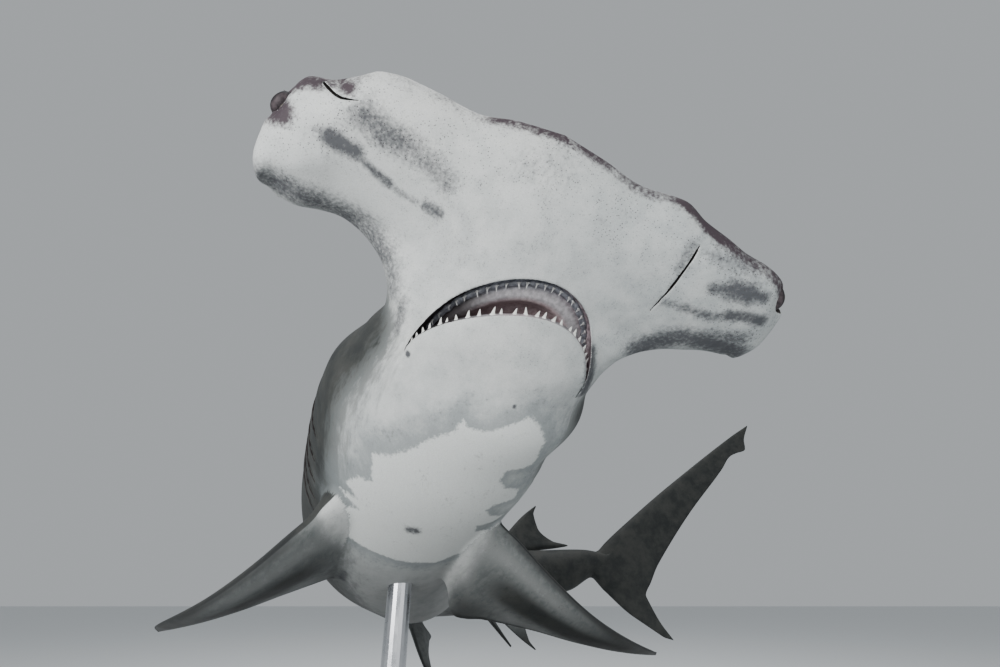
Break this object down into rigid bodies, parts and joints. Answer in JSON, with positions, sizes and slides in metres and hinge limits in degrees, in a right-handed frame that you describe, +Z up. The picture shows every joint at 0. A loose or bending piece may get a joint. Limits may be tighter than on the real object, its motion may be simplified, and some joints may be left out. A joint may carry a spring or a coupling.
{
  "type": "great hammerhead shark model",
  "caption": "Life-size still model of a great hammerhead shark, banking with its jaw a little open, held over a flat base by short rods.",
  "frame": {"origin": "centre of the display base's underside, on the floor", "axes": "+Z up; the snout points to -Y and the shark's own left is +X, turned by its bank"},
  "size_m": [2.1818, 2.1416, 1.3536],
  "materials": {
    "skin_pale": "satin",
    "skin_dark": "satin",
    "fin": "satin",
    "eye": "gloss",
    "mouth": "gloss",
    "tooth": "gloss",
    "stand_base": "matte",
    "stand_rod": "brushed"
  },
  "bodies": {
    "root": {"head": "skin_pale", "lower_jaw": "skin_pale", "eye_left": "eye", "eye_right": "eye", "neck": "skin_pale", "chest": "skin_pale", "belly": "skin_pale", "tail_base": "skin_dark", "tail_stock": "skin_dark", "pectoral_fin_right": "fin", "pectoral_fin_left": "fin", "dorsal_fin_first": "skin_dark", "dorsal_fin_second": "skin_dark", "anal_fin": "fin", "pelvic_fin_right": "fin", "pelvic_fin_left": "fin", "tail_fin_upper": "skin_dark", "tail_fin_lower": "skin_dark", "stand_base": "stand_base", "stand_rod_front": "stand_rod", "stand_rod_rear": "stand_rod"}
  },
  "joints": []
}
